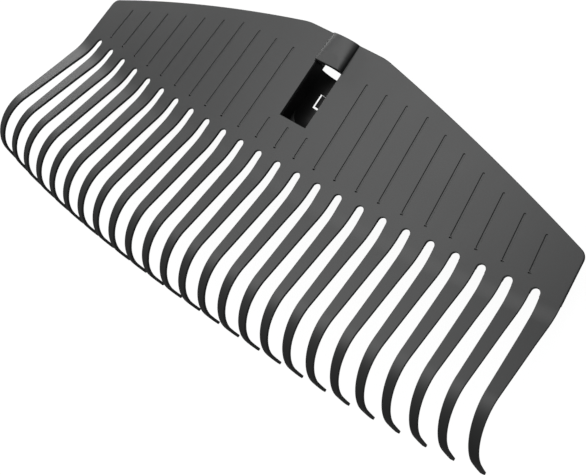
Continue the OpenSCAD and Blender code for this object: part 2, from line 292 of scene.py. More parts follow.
# painted shade: the socket shell, its end and the latch tongue are far darker than the plate, standing in for
# the shade deep inside the handle socket
shadedSocketPlastic = plastic("shadedSocketPlastic", {
    "tone": (0.006, 0.006, 0.0062), "scuffAndSheenTone": (0.02, 0.02, 0.021), "roughness": 0.6,
    "mottle": 0.14, "scuffing": 0.2, "grain": 0.4, "ior": 1.5})
print("materials made")


def newPiece(name, mesh, material):
    piece = bpy.data.objects.new(name, mesh)
    bpy.context.scene.collection.objects.link(piece)
    if material.name not in [m.name for m in mesh.materials if m]:
        mesh.materials.clear()
        mesh.materials.append(material)
    return piece


# Smooth faces, sharp creases, and normals that keep the large faces flat
def dressed(piece, crease=38):
    mesh = piece.data
    mesh.shade_smooth()
    mesh.set_sharp_from_angle(angle=math.radians(crease))
    weighted = piece.modifiers.new("flatFaces", "WEIGHTED_NORMAL")
    weighted.keep_sharp = True
    return settled(piece)


def settled(piece):
    graph = bpy.context.evaluated_depsgraph_get()
    mesh = bpy.data.meshes.new_from_object(piece.evaluated_get(graph), preserve_all_data_layers=True,
                                           depsgraph=graph)
    old = piece.data
    piece.modifiers.clear()
    piece.data = mesh
    mesh.name = piece.name
    bpy.data.meshes.remove(old)
    return piece


def outward(mesh):
    shape = bmesh.new()
    shape.from_mesh(mesh)
    bmesh.ops.recalc_face_normals(shape, faces=shape.faces)
    if shape.calc_volume(signed=True) < 0:
        bmesh.ops.reverse_faces(shape, faces=shape.faces)
    shape.to_mesh(mesh)
    shape.free()


# Plate: rings round its outline, the grooves, and a grid between them
# A row of "steps" is a list of distances in from an edge, each with its depth
plate = {"shoulderX": 5.6, "shoulderY": 22.3, "shoulderRound": 9, "crownHalf": 47, "crownRound": 60,
         "swell": 2.6, "swellShare": 0.9, "support": 1.7, "spacing": 6.0, "shoulderSpacing": 1.0,
         "crownSpacing": 2.5, "windowSpacing": 4.0, "windowCorner": 2, "slotSteps": 20, "endSteps": 10,
         "grid": 11.0, "gridGap": 3.2, "gridColumns": (-28, 29), "gridRows": (-4, 9),
         "grooveWidth": 2.4, "grooveRow": 5, "dimpleDrop": 0.8, "dimpleSides": 16, "pinSides": 20,
         "grooveSteps": ((0.0, 0.0), (0.12, 0.05), (0.42, 0.58), (0.6, 0.7)),
         "dimpleWidth": 3.0, "dimpleHeight": 1.3, "dimpleSteps": ((0.0, 0.0), (0.08, 0.1), (0.2, 1.5)),
         "pinRadius": 3.0, "pinRows": (-12, 34), "pinSteps": ((0.0, 0.0), (0.15, 0.12)), "edgeSheenGain": 1.6,
         "bridgeSide": ((16.3, 57), (16.3, 60), (16.3, 66), (16.3, 73), (16.3, 80), (17.5, 56.4),
                        (18.2, 58.6))}
# The grooves on the front follow the ribs on the back
rib = {"low": 9.9, "top": 57.8, "middleGap": 6.6, "margin": 11.8, "fan": 0.77, "width": 2.4, "height": 5,
       "sunk": 0.7, "edgeRadius": 0.6, "rows": 41}
edgeX = rootX(head["last"]) + rootWidth * head["endTine"] / 2
shoulderX = edgeX - plate["shoulderX"]


def arcBetween(before, corner, after, radius, spacing):
    u = (Vector(before) - Vector(corner)).normalized()
    w = (Vector(after) - Vector(corner)).normalized()
    turn = math.acos(max(-1, min(1, -u.dot(w))))
    centre = Vector(corner) + (u + w).normalized() * (radius / math.cos(turn / 2))
    start = Vector(corner) + u * radius * math.tan(turn / 2) - centre
    count = max(6, math.ceil(radius * turn / spacing))
    sign = -1 if u.cross(w) > 0 else 1
    points = []
    for k in range(count + 1):
        a = sign * turn * k / count
        points.append(centre + turned(start.x, start.y, a))
    return points


def filled(points, spacing):
    out = [Vector(points[0])]
    for q in points[1:]:
        p, q = out[-1], Vector(q)
        count = max(1, math.ceil((q - p).length / spacing))
        start = p.copy()
        out.extend(start.lerp(q, k / count) for k in range(1, count + 1))
    return out


# Outer edge of the right half, from the end tine up to the bridge, anticlockwise
def rightEdge():
    crown = Vector((plate["crownHalf"], head["crownY"]))
    shoulder = Vector((shoulderX, plate["shoulderY"]))
    along = (shoulder - crown).normalized()
    middle = (crown + shoulder) / 2 + 2 * plate["swell"] * Vector((-along.y, along.x))
    bulge = plate["swellShare"] * (shoulder - crown).length_squared / (8 * plate["swell"])
    foot = seamCorner(head["last"], 1)
    points = [Vector(foot)]
    points += arcBetween(foot, shoulder, middle, plate["shoulderRound"], plate["shoulderSpacing"])
    points += arcBetween(shoulder, middle, crown, bulge, plate["spacing"])
    points += arcBetween(middle, crown, (0, head["crownY"]), plate["crownRound"],
                         plate["crownSpacing"])
    points.append(Vector((head["socketHalf"], head["crownY"])))
    return filled(points, plate["spacing"])


def slotChain(k):
    a = turnOf(k)
    top = Vector((head["pitch"] * k, slotTop(k)))
    half, steps = head["slotWidth"] / 2, plate["slotSteps"]
    points = [Vector(seamCorner(int(k - 0.5), 1))]
    for n in range(steps + 1):
        turn = math.pi - math.pi * n / steps
        x, y = half * math.cos(turn), half * math.sin(turn) - half
        points.append(top + turned(x, y, a))
    points.append(Vector(seamCorner(int(k + 0.5), -1)))
    return points


def windowChain():
    w, high, low = head["socketHalf"], head["windowHigh"], head["windowLow"]
    near = high - plate["windowCorner"]
    return filled([(w, high), (w, near), (w, low), (-w, low), (-w, near), (-w, high)],
                  plate["windowSpacing"])


# Direction along the seam of tine i, into the plate from the given side
def seamInward(i, side):
    return Vector((-side * math.cos(turnOf(i)), -side * math.sin(turnOf(i))))


# Open chain moved to its left; its two ends move along the given directions
def inset(chain, distance, ends):
    out = []
    for n, p in enumerate(chain):
        before = (p - chain[n - 1]).normalized() if n > 0 else None
        after = (chain[n + 1] - p).normalized() if n + 1 < len(chain) else None
        if before is None or after is None:
            out.append(p + ends[0 if before is None else 1] * distance)
            continue
        n1, n2 = Vector((-before.y, before.x)), Vector((-after.y, after.x))
        mean = (n1 + n2).normalized()
        out.append(p + mean * distance / max(0.5, mean.dot(n1)))
    return out


# Rounded edge in a few steps, as (distance in, depth) from the face down to the wall
fillet = [(head["edgeRadius"] * (1 - math.cos(a)), head["edgeRadius"] * (1 - math.sin(a)))
          for a in map(math.radians, (0, 22, 45, 67, 90))]


def outlineRings():
    right = rightEdge()
    last, still, down = head["last"], Vector((0, 0)), Vector((0, -1))
    chains = [(slotChain(n + 0.5), (seamInward(n, 1), seamInward(n + 1, -1)))
              for n in range(-last, last)]
    chains += [(right, (seamInward(last, 1), down)), (windowChain(), (still, still))]
    left = [Vector((-p.x, p.y)) for p in reversed(right)]
    chains.append((left, (down, seamInward(-last, -1))))
    rings = []
    for distance, depth in fillet + [(plate["support"], 0)]:
        ring = []
        for number, (chain, ends) in enumerate(chains):
            for n, p in enumerate(inset(chain, distance, ends)):
                atEnd = n in (0, len(chain) - 1)
                ring.append((p, 0 if ends[0] == still and atEnd else depth, number, atEnd))
        rings.append(ring)
    return rings


def inside(p, polygon):
    hit = False
    for a, b in zip(polygon, polygon[1:] + polygon[:1]):
        if (a.y > p.y) != (b.y > p.y) and p.x < (b.x - a.x) * (p.y - a.y) / (b.y - a.y) + a.x:
            hit = not hit
    return hit


def ribFoot(j):
    return -head["slotRow"] + rib["low"] + head["rowRise"] * j * j


def ribHead(j):
    if abs(j) < 2:
        return head["windowLow"] - rib["middleGap"]
    share = (head["pitch"] * abs(j) - plate["crownHalf"]) / (shoulderX - plate["crownHalf"])
    slope = head["crownY"] + (plate["shoulderY"] - head["crownY"]) * share + plate["swell"]
    return min(rib["top"], slope - rib["margin"])


# Closed outline with round ends round rib or groove j
def stadium(j, half, offset):
    a = math.radians(rib["fan"] * j)
    long = ribHead(j) - ribFoot(j)
    r = half - offset
    turns = [math.pi * n / plate["endSteps"] for n in range(plate["endSteps"] + 1)]
    local = [(r * math.cos(t), long - half + r * math.sin(t)) for t in turns]
    rows = max(2, round((long - 2 * half) / plate["grooveRow"]))
    local += [(-r, long - half - (long - 2 * half) * n / rows) for n in range(1, rows)]
    local += [(-r * math.cos(t), half - r * math.sin(t)) for t in turns]
    local += [(r, half + (long - 2 * half) * n / rows) for n in range(1, rows)]
    base = Vector((head["pitch"] * j, ribFoot(j)))
    return [base + turned(x, y, a) for x, y in local]


# Small oval dimple just below the foot of groove j
def dimple(j, offset):
    a = math.radians(rib["fan"] * j)
    r, half = plate["dimpleHeight"] / 2 - offset, (plate["dimpleWidth"] - plate["dimpleHeight"]) / 2
    base = Vector((head["pitch"] * j, ribFoot(j)))
    points, sides = [], plate["dimpleSides"]
    for n in range(sides):
        t = math.tau * (n + 0.5) / sides
        x = r * math.cos(t) + math.copysign(half, math.cos(t))
        y = r * math.sin(t) - plate["dimpleDrop"] * plate["dimpleHeight"]
        points.append(base + turned(x, y, a))
    return points


# Ejector pins leave shallow discs on the back of a moulding
def pinMark(x, y, radius):
    turns = [math.tau * n / plate["pinSides"] for n in range(plate["pinSides"])]
    return [Vector((x + radius * math.cos(t), y + radius * math.sin(t))) for t in turns]


# One side of the plate as a flat mesh: the rings, the loops of grooves or marks, and a grid
def sheetSide(rings, loops):
    points, depths, edges = [], [], []
    for ring in rings:
        start = len(points)
        points += [p for p, depth, number, atEnd in ring]
        depths += [depth for p, depth, number, atEnd in ring]
        edges += [(start + n, start + n + 1) for n in range(len(ring) - 1)
                  if ring[n][2] == ring[n + 1][2]]
    # a seam runs in over the ends of the rings on one side and out over those on the other
    size = len(rings[0])
    for n in range(size):
        m = (n + 1) % size
        if rings[0][n][2] != rings[0][m][2]:
            path = [level * size + n for level in range(len(rings))]
            path += [level * size + m for level in reversed(range(len(rings)))]
            edges += [(a, b) for a, b in zip(path, path[1:])
                      if (points[a] - points[b]).length > 0.0001]
    for loop, depth in loops:
        start = len(points)
        points += loop
        depths += [depth] * len(loop)
        edges += [(start + n, start + (n + 1) % len(loop)) for n in range(len(loop))]
    near = KDTree(len(points))
    for n, p in enumerate(points):
        near.insert((p.x, p.y, 0), n)
    near.balance()
    # a few points beside the bridge keep the bend at the window's upper corners small
    for side in (-1, 1):
        for x, y in plate["bridgeSide"]:
            points.append(Vector((side * x, y)))
            depths.append(0)
    boundary = [p for p, depth, number, atEnd in rings[-1]]
    grid = plate["grid"]
    for gx in range(*plate["gridColumns"]):
        for gy in range(*plate["gridRows"]):
            p = Vector((gx * grid + (gy % 2) * grid / 2, gy * grid))
            if near.find((p.x, p.y, 0))[2] > plate["gridGap"] and inside(p, boundary):
                points.append(p)
                depths.append(0)
    result = delaunay_2d_cdt(points, edges, [], 1, 1e-5)
    return result, depths


def buildPlate():
    rings = outlineRings()
    grooves, marks = [], []
    half = plate["grooveWidth"] / 2
    for j in range(1 - head["last"], head["last"]):
        for offset, depth in plate["grooveSteps"]:
            grooves.append((stadium(j, half, offset), depth))
        for offset, depth in plate["dimpleSteps"]:
            grooves.append((dimple(j, offset), depth))
    for j in range(-10, 11, 4):
        for y in plate["pinRows"]:
            # the upper row stops short of the plate's slopes
            if y < 0 or abs(j) < 8:
                for offset, depth in plate["pinSteps"]:
                    marks.append((pinMark(head["pitch"] * (j + 0.5), y, plate["pinRadius"] - offset), depth))
    shape = bmesh.new()
    edgeLayer = shape.verts.layers.float.new("edge")
    rim = {}
    for side, loops in ((0, grooves), (1, marks)):
        (flat, _, faces, origins, _, _), depths = sheetSide(rings, loops)
        made = []
        for p, source in zip(flat, origins):
            depth = min(depths[n] for n in source) if source else 0
            z = bow(p.x) - depth if side == 0 else bow(p.x) - head["wall"] + depth
            vert = shape.verts.new(placed(p.x, p.y, z))
            fromRing = source and min(source) < len(rings) * len(rings[0])
            # the edge weight on the rounded rim drives a painted highlight (sheen) in the material
            vert[edgeLayer] = min(1, depth / head["edgeRadius"] * plate["edgeSheenGain"]) if fromRing else 0
            made.append(vert)
            for n in source:
                rim[(side, n)] = vert
        for face in faces:
            corners = [made[n] for n in face]
            if side == 1:
                corners.reverse()
            shape.faces.new(corners)
    # walls between the two sides, and flat ends on the seams
    size = len(rings[0])
    for n in range(size):
        m = (n + 1) % size
        if rings[0][n][3] and rings[0][m][3] and rings[0][n][2] != rings[0][m][2]:
            front = [rim[(0, level * size + n)] for level in range(len(rings))]
            front += [rim[(0, level * size + m)] for level in reversed(range(len(rings)))]
            back = [rim[(1, level * size + m)] for level in range(len(rings))]
            back += [rim[(1, level * size + n)] for level in reversed(range(len(rings)))]
            loop = []
            for vert in front + back:
                if vert not in loop:
                    loop.append(vert)
            shape.faces.new(loop)
        else:
            shape.faces.new([rim[(0, n)], rim[(1, n)], rim[(1, m)], rim[(0, m)]])
    bmesh.ops.delete(shape, geom=[v for v in shape.verts if not v.link_faces], context="VERTS")
    mesh = bpy.data.meshes.new("headPlate")
    shape.to_mesh(mesh)
    shape.free()
    outward(mesh)
    print("plate", len(mesh.vertices), "points,", openEdges(mesh), "open edges")
    return mesh


def openEdges(mesh):
    shape = bmesh.new()
    shape.from_mesh(mesh)
    count = sum(len(e.link_faces) != 2 for e in shape.edges)
    shape.free()
    return count


platePiece = dressed(newPiece("headPlate", buildPlate(), platePlastic))
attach(platePiece, "head")
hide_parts("head_plate")
print("plate made")


# Tines: a straight rounded bar bent along its five stretches
tine = {"lead": 4.6, "leadFade": 0.028, "growth": 0.00034, "rise": 16.6, "riseTurn": 12.77,
        "riseSpread": 6.5, "shank": 68.7, "hook": 73.5, "hookFade": 0.1, "hookTurn": -98.2, "tip": 19.4,
        "tipTurn": -3.5, "neckWidth": 13.1, "hookWidth": 6.9, "tipWidth": 3.8, "wallShy": 0.06, "rows": 150,
        "tipRound": 1.5, "tipThin": 0.06, "neckAt": 0.2, "hookAt": 0.85, "crowding": 0.05,
        "blendBefore": 0.1, "blendAfter": 4.0}


# How far one stretch of a tine has gone out and up at a given distance along the tine
def stretchGroup():
    tree, kit, given, result = newGroup("bendStretch", "GeometryNodeTree", [
        ("Distance", "NodeSocketFloat", 0.0), ("Start", "NodeSocketFloat", 0.0),
        ("Length", "NodeSocketFloat", 1.0), ("Start Angle", "NodeSocketFloat", 0.0),
        ("Turn", "NodeSocketFloat", 0.1)],
        [("Out", "NodeSocketFloat"), ("Up", "NodeSocketFloat"), ("Angle", "NodeSocketFloat"),
         ("End", "NodeSocketFloat"), ("End Angle", "NodeSocketFloat")])
    done = kit.math("MAXIMUM", kit.math("SUBTRACT", given["Distance"], given["Start"]), 0.0)
    done = kit.math("MINIMUM", done, given["Length"])
    # chord of the arc: its length, and its direction halfway round the turn
    swung = kit.math("DIVIDE", kit.math("MULTIPLY", given["Turn"], done), given["Length"])
    # the small part keeps a straight stretch from dividing by nothing
    halfTurn = kit.math("ADD", kit.math("DIVIDE", swung, 2.0), 0.000001)
    chord = kit.math("MULTIPLY", done, kit.math("DIVIDE", kit.math("SINE", halfTurn), halfTurn))
    heading = kit.math("ADD", given["Start Angle"], halfTurn)
    for label, value in (("Out", kit.math("MULTIPLY", chord, kit.math("COSINE", heading))),
                         ("Up", kit.math("MULTIPLY", chord, kit.math("SINE", heading))), ("Angle", swung),
                         ("End", kit.math("ADD", given["Start"], given["Length"])),
                         ("End Angle", kit.math("ADD", given["Start Angle"], given["Turn"]))):
        tree.links.new(value, result[label])
    return tree


def tineGroup():
    lengths = ["Lead", "Rise", "Shank", "Hook", "Tip"]
    tree, kit, given, result = newGroup("springTine", "GeometryNodeTree", [
        (label, "NodeSocketFloat", 1.0) for label in [
            "Root X", "Root Y", "Fan", "Widening", "Root Width", "Neck Width", "Hook Width", "Tip Width",
            "Wall", "Edge Radius", "Bow Radius", "Seam", "Tip Round", "Rise Turn", "Hook Turn", "Tip Turn",
            *lengths]]
        + [("Rows", "NodeSocketInt", 100), ("Material", "NodeSocketMaterial", None)],
        [("Geometry", "NodeSocketGeometry")])
    total = given["Lead"]
    for label in lengths[1:]:
        total = kit.math("ADD", total, given[label])
    full = kit.math("MULTIPLY", given["Root Width"], given["Widening"])
    line = kit.add("GeometryNodeCurvePrimitiveLine", {"End": kit.combine(0.0, 1.0, 0.0)})
    rows = kit.add("GeometryNodeResampleCurve", {"Curve": line.outputs[0], "Count": given["Rows"]})
    square = kit.add("GeometryNodeCurvePrimitiveQuadrilateral", {"Width": full, "Height": given["Wall"]})
    rounded = kit.add("GeometryNodeFilletCurve", {"Curve": square.outputs[0], "Count": 4,
                                                  "Radius": given["Edge Radius"]}, mode="POLY")
    bar = kit.add("GeometryNodeCurveToMesh", {"Curve": rows.outputs[0], "Profile Curve": rounded.outputs[0],
                                              "Fill Caps": True})
    place = kit.add("ShaderNodeSeparateXYZ", {0: kit.add("GeometryNodeInputPosition").outputs[0]}).outputs
    # rows crowd together towards the tip, so that it can be rounded
    fromEnd = kit.math("SUBTRACT", 1.0, place[1])
    crowded = kit.math("DIVIDE", kit.math("MULTIPLY", fromEnd, fromEnd), tine["crowding"])
    crowded = kit.math("SUBTRACT", 1.0, crowded)
    nearEnd = kit.add("FunctionNodeCompare", {0: place[1], 1: 1 - tine["crowding"]}, data_type="FLOAT",
                      operation="GREATER_THAN").outputs[0]
    share = kit.add("GeometryNodeSwitch", {0: nearEnd, 1: place[1], 2: crowded},
                    input_type="FLOAT").outputs[0]
    reach = kit.math("ADD", total, given["Seam"])
    s = kit.math("SUBTRACT", kit.math("MULTIPLY", share, reach), given["Seam"])
    u = kit.math("DIVIDE", s, total)
    width = given["Root Width"]
    for low, high, before, after in ((0.0, tine["neckAt"], "Root Width", "Neck Width"),
                                     (tine["neckAt"], tine["hookAt"], "Neck Width", "Hook Width"),
                                     (tine["hookAt"], 1.0, "Hook Width", "Tip Width")):
        change = kit.math("SUBTRACT", given[after], given[before])
        width = kit.math("ADD", width, kit.math("MULTIPLY", change, kit.spread(u, low, high)))
    width = kit.math("MULTIPLY", width, given["Widening"])
    # round, blunt end
    left = kit.math("DIVIDE", kit.math("SUBTRACT", given["Tip Round"], kit.math("SUBTRACT", total, s)),
                    given["Tip Round"])
    left = kit.math("MAXIMUM", left, 0.0)
    ending = kit.math("SUBTRACT", 1.0, kit.math("MULTIPLY", left, left))
    ending = kit.math("SQRT", kit.math("MAXIMUM", ending, tine["tipThin"]))
    lost = kit.math("MULTIPLY", given["Tip Round"], kit.math("SUBTRACT", 1.0, ending))
    half = kit.math("DIVIDE", kit.math("SUBTRACT", width, full), 2.0)
    across = kit.math("ADD", place[0], kit.math("MULTIPLY", kit.math("SIGN", place[0]),
                                                kit.math("SUBTRACT", half, lost)))
    thick = kit.math("MULTIPLY", place[2], ending)
    stretch = stretchGroup()
    turns = [0.0, given["Rise Turn"], 0.0, given["Hook Turn"], given["Tip Turn"]]
    start, startAngle, up, angle = 0.0, 0.0, 0.0, 0.0
    out = kit.math("MINIMUM", s, 0.0)
    for label, turn in zip(lengths, turns):
        bend = tree.nodes.new("GeometryNodeGroup")
        bend.node_tree = stretch
        for name, value in (("Distance", s), ("Start", start), ("Length", given[label]),
                            ("Start Angle", startAngle), ("Turn", turn)):
            if isinstance(value, float):
                bend.inputs[name].default_value = value
            else:
                tree.links.new(value, bend.inputs[name])
        out = kit.math("ADD", out, bend.outputs["Out"])
        up = kit.math("ADD", up, bend.outputs["Up"])
        angle = kit.math("ADD", angle, bend.outputs["Angle"])
        start, startAngle = bend.outputs["End"], bend.outputs["End Angle"]
    sinFan, cosFan = kit.math("SINE", given["Fan"]), kit.math("COSINE", given["Fan"])
    x = kit.math("ADD", given["Root X"], kit.math("MULTIPLY", out, sinFan))
    y = kit.math("SUBTRACT", given["Root Y"], kit.math("MULTIPLY", out, cosFan))
    squared = kit.math("SUBTRACT", kit.math("MULTIPLY", given["Bow Radius"], given["Bow Radius"]),
                       kit.math("MULTIPLY", x, x))
    depth = kit.math("SQRT", squared)
    bowed = kit.math("SUBTRACT", depth, given["Bow Radius"])
    z = kit.math("ADD", kit.math("SUBTRACT", bowed, kit.math("DIVIDE", given["Wall"], 2.0)), up)
    slope = kit.math("DIVIDE", kit.math("MULTIPLY", x, -1.0), depth)
    side = kit.vector("NORMALIZE", kit.combine(cosFan, sinFan, kit.math("MULTIPLY", slope, cosFan)))
    level = kit.math("COSINE", angle)
    lift = kit.math("MULTIPLY", kit.math("MULTIPLY", slope, sinFan), level)
    lift = kit.math("ADD", kit.math("SINE", angle), lift)
    forward = kit.math("MULTIPLY", kit.math("MULTIPLY", cosFan, level), -1.0)
    along = kit.combine(kit.math("MULTIPLY", sinFan, level), forward, lift)
    facing = kit.vector("NORMALIZE", kit.vector("CROSS_PRODUCT", along, side))
    point = kit.vector("ADD", kit.combine(x, y, z), kit.scaled(side, across))
    point = kit.vector("ADD", point, kit.scaled(facing, thick))
    # how near a point is to the long edges, for the painted highlight (sheen) along them
    flatHalf = kit.math("SUBTRACT", kit.math("DIVIDE", full, 2.0), given["Edge Radius"])
    past = kit.math("SUBTRACT", kit.math("ABSOLUTE", place[0]), flatHalf)
    rim = kit.math("DIVIDE", past, given["Edge Radius"], clamp=True)
    noted = kit.noted(bar.outputs[0], "edge", rim, "FLOAT")
    own = kit.combine(kit.math("MULTIPLY", kit.math("ADD", across, given["Root X"]), mm),
                      kit.math("MULTIPLY", s, mm), kit.math("MULTIPLY", thick, mm))
    noted = kit.noted(noted, "alongTine", own, "FLOAT_VECTOR")
    kit.finished(noted, point, given["Material"], result["Geometry"])
    return tree


tineTree = tineGroup()


def buildTine(i):
    number = i + head["last"] + 1
    name = "tine%02d" % number
    # the outer tines are longer and rise more steeply
    k = 1 + tine["growth"] * i * i
    outwards = abs(i) / head["last"]
    piece = newPiece(name, bpy.data.meshes.new(name), tinePlastic)
    useTree(piece, tineTree, {
        "Root X": rootX(i), "Root Y": rootY(i), "Fan": turnOf(i), "Widening": float(widen(i)),
        "Root Width": float(rootWidth), "Neck Width": tine["neckWidth"], "Hook Width": tine["hookWidth"],
        "Tip Width": tine["tipWidth"], "Wall": head["wall"] - tine["wallShy"],
        "Edge Radius": head["edgeRadius"], "Bow Radius": float(head["bowRadius"]), "Seam": head["seam"],
        "Tip Round": tine["tipRound"],
        "Rise Turn": math.radians(tine["riseTurn"] + tine["riseSpread"] * outwards ** 2),
        "Hook Turn": math.radians(tine["hookTurn"]), "Tip Turn": math.radians(tine["tipTurn"]),
        "Lead": tine["lead"] - tine["leadFade"] * i * i, "Rise": tine["rise"] * k, "Shank": tine["shank"] * k,
        "Hook": tine["hook"] * (k - tine["hookFade"] * outwards ** 4), "Tip": tine["tip"] * k,
        "Rows": tine["rows"], "Material": tinePlastic})
    settled(piece)
    outward(piece.data)
    dressed(piece)
    a = turnOf(i)
    root = Vector((rootX(i), rootY(i), bow(rootX(i)) - head["wall"] / 2))
    down = Vector((math.sin(a), -math.cos(a), 0))
    begin, end = root - down * (head["seam"] - tine["blendBefore"]), root + down * tine["blendAfter"]
    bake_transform(piece, "head", "tine_%02d" % number, placed(*begin), placed(*end))
    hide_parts("tine_%02d" % number)
    return piece


tines = [buildTine(i) for i in range(-head["last"], head["last"] + 1)]
print("tines made", len(tines[0].data.polygons), "faces each")


# Ribs: rounded bars set out in a row behind the grooves
def ribGroup():
    tree, kit, given, result = newGroup("ribRow", "GeometryNodeTree", [
        ("First", "NodeSocketInt", -1), ("Count", "NodeSocketInt", 3)]
        + [(label, "NodeSocketFloat", 1.0) for label in [
            "Pitch", "Rib Width", "Rib Height", "Sunk", "Edge Radius", "Slot Row", "Row Rise", "Low Gap",
            "Fan", "Top", "Middle Top", "Crown Y", "Crown Half", "Shoulder X", "Shoulder Y", "Swell",
            "Margin", "Wall", "Bow Radius"]]
        + [("Rows", "NodeSocketInt", 41), ("Material", "NodeSocketMaterial", None)],
        [("Geometry", "NodeSocketGeometry")])
    line = kit.add("GeometryNodeCurvePrimitiveLine", {"End": kit.combine(0.0, 1.0, 0.0)})
    rows = kit.add("GeometryNodeResampleCurve", {"Curve": line.outputs[0], "Count": given["Rows"]})
    deep = kit.math("ADD", given["Rib Height"], given["Sunk"])
    square = kit.add("GeometryNodeCurvePrimitiveQuadrilateral", {"Width": given["Rib Width"], "Height": deep})
    rounded = kit.add("GeometryNodeFilletCurve", {"Curve": square.outputs[0], "Count": 4,
                                                  "Radius": given["Edge Radius"]}, mode="POLY")
    bar = kit.add("GeometryNodeCurveToMesh", {"Curve": rows.outputs[0], "Profile Curve": rounded.outputs[0],
                                              "Fill Caps": True})
    shaped = kit.noted(bar.outputs[0], "template", kit.add("GeometryNodeInputPosition").outputs[0],
                       "FLOAT_VECTOR")
    spots = kit.add("GeometryNodeMeshLine", {"Count": given["Count"]})
    number = kit.math("ADD", kit.add("GeometryNodeInputIndex").outputs[0], given["First"])
    numbered = kit.noted(spots.outputs[0], "rib", number, "FLOAT")
    placedBars = kit.add("GeometryNodeInstanceOnPoints", {"Points": numbered, "Instance": shaped})
    real = kit.add("GeometryNodeRealizeInstances", {"Geometry": placedBars.outputs[0]})
    template = kit.add("GeometryNodeInputNamedAttribute", {"Name": "template"}, data_type="FLOAT_VECTOR")
    place = kit.add("ShaderNodeSeparateXYZ", {0: template.outputs[0]}).outputs
    j = kit.add("GeometryNodeInputNamedAttribute", {"Name": "rib"}, data_type="FLOAT").outputs[0]
    away = kit.math("ABSOLUTE", j)
    foot = kit.math("ADD", kit.math("SUBTRACT", given["Low Gap"], given["Slot Row"]),
                    kit.math("MULTIPLY", given["Row Rise"], kit.math("MULTIPLY", j, j)))
    # the outer ribs end below the plate's sloping edge
    share = kit.math("SUBTRACT", kit.math("MULTIPLY", away, given["Pitch"]), given["Crown Half"])
    share = kit.math("DIVIDE", share, kit.math("SUBTRACT", given["Shoulder X"], given["Crown Half"]))
    drop = kit.math("MULTIPLY", share, kit.math("SUBTRACT", given["Shoulder Y"], given["Crown Y"]))
    slope = kit.math("ADD", given["Crown Y"], drop)
    slope = kit.math("SUBTRACT", kit.math("ADD", slope, given["Swell"]), given["Margin"])
    middle = kit.add("FunctionNodeCompare", {0: away, 1: 1.5}, data_type="FLOAT",
                     operation="LESS_THAN").outputs[0]
    top = kit.add("GeometryNodeSwitch", {0: middle, 1: kit.math("MINIMUM", given["Top"], slope),
                                         2: given["Middle Top"]}, input_type="FLOAT").outputs[0]
    long = kit.math("SUBTRACT", top, foot)
    radius = kit.math("DIVIDE", given["Rib Width"], 2.0)
    quarter = math.pi / 2
    opening = kit.spread(place[1], 0.0, 0.25, 0.0, quarter)
    closing = kit.spread(place[1], 0.75, 1.0, 0.0, quarter)
    between = kit.spread(place[1], 0.25, 0.75)
    straight = kit.math("SUBTRACT", long, given["Rib Width"])
    y = kit.math("MULTIPLY", radius, kit.math("SUBTRACT", 1.0, kit.math("COSINE", opening)))
    y = kit.math("ADD", y, kit.math("MULTIPLY", between, straight))
    y = kit.math("ADD", y, kit.math("MULTIPLY", radius, kit.math("SINE", closing)))
    full = kit.math("MULTIPLY", kit.math("SINE", opening), kit.math("COSINE", closing))
    full = kit.math("MAXIMUM", full, 0.05)
    across = kit.math("MULTIPLY", place[0], full)
    depth = kit.math("SUBTRACT", kit.math("DIVIDE", deep, 2.0), given["Sunk"])
    depth = kit.math("SUBTRACT", depth, place[2])
    turn = kit.math("MULTIPLY", j, given["Fan"])
    sinTurn, cosTurn = kit.math("SINE", turn), kit.math("COSINE", turn)
    x = kit.math("SUBTRACT", kit.math("MULTIPLY", across, cosTurn), kit.math("MULTIPLY", y, sinTurn))
    x = kit.math("ADD", x, kit.math("MULTIPLY", given["Pitch"], j))
    yAt = kit.math("ADD", kit.math("MULTIPLY", across, sinTurn), kit.math("MULTIPLY", y, cosTurn))
    yAt = kit.math("ADD", yAt, foot)
    squared = kit.math("SUBTRACT", kit.math("MULTIPLY", given["Bow Radius"], given["Bow Radius"]),
                       kit.math("MULTIPLY", x, x))
    z = kit.math("SUBTRACT", kit.math("SQRT", squared), given["Bow Radius"])
    z = kit.math("SUBTRACT", kit.math("SUBTRACT", z, given["Wall"]), depth)
    kit.finished(real.outputs[0], kit.combine(x, yAt, z), given["Material"], result["Geometry"])
    return tree


ribTree = ribGroup()
for name, node, first, count in (("leftRibs", "left_ribs", -11, 10), ("middleRibs", "middle_ribs", -1, 3),
                                 ("rightRibs", "right_ribs", 2, 10)):
    piece = newPiece(name, bpy.data.meshes.new(name), platePlastic)
    useTree(piece, ribTree, {
        "First": first, "Count": count, "Pitch": float(head["pitch"]), "Rib Width": rib["width"],
        "Rib Height": float(rib["height"]), "Sunk": rib["sunk"], "Edge Radius": rib["edgeRadius"],
        "Slot Row": head["slotRow"], "Row Rise": head["rowRise"], "Low Gap": rib["low"],
        "Fan": math.radians(rib["fan"]), "Top": rib["top"],
        "Middle Top": head["windowLow"] - rib["middleGap"],
        "Crown Y": head["crownY"], "Crown Half": float(plate["crownHalf"]), "Shoulder X": shoulderX,
        "Shoulder Y": plate["shoulderY"], "Swell": plate["swell"], "Margin": rib["margin"],
        "Wall": head["wall"], "Bow Radius": float(head["bowRadius"]), "Rows": rib["rows"],
        "Material": platePlastic})
    settled(piece)
    outward(piece.data)
    dressed(piece)
    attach(piece, "head")
    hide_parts(node)
print("ribs made")


# Bridge over the handle: full and square at the window, a round arch at the crown
bridge = {"rise": 6, "power": 3.8, "crownPower": 2, "facetRise": 5.0, "facetLength": 12, "outer": 18.5,
          "leastFlat": 0.15, "fadeHeight": 1.5, "bore": 15.5, "flank": 12, "flat": 12, "boreSteps": 48,
          "rows": 26, "edgeSheenGain": 1.6}


def archHeight(x, power):
    return bridge["rise"] * (1 - min(1, abs(x) / head["socketHalf"]) ** power) ** (1 / power)


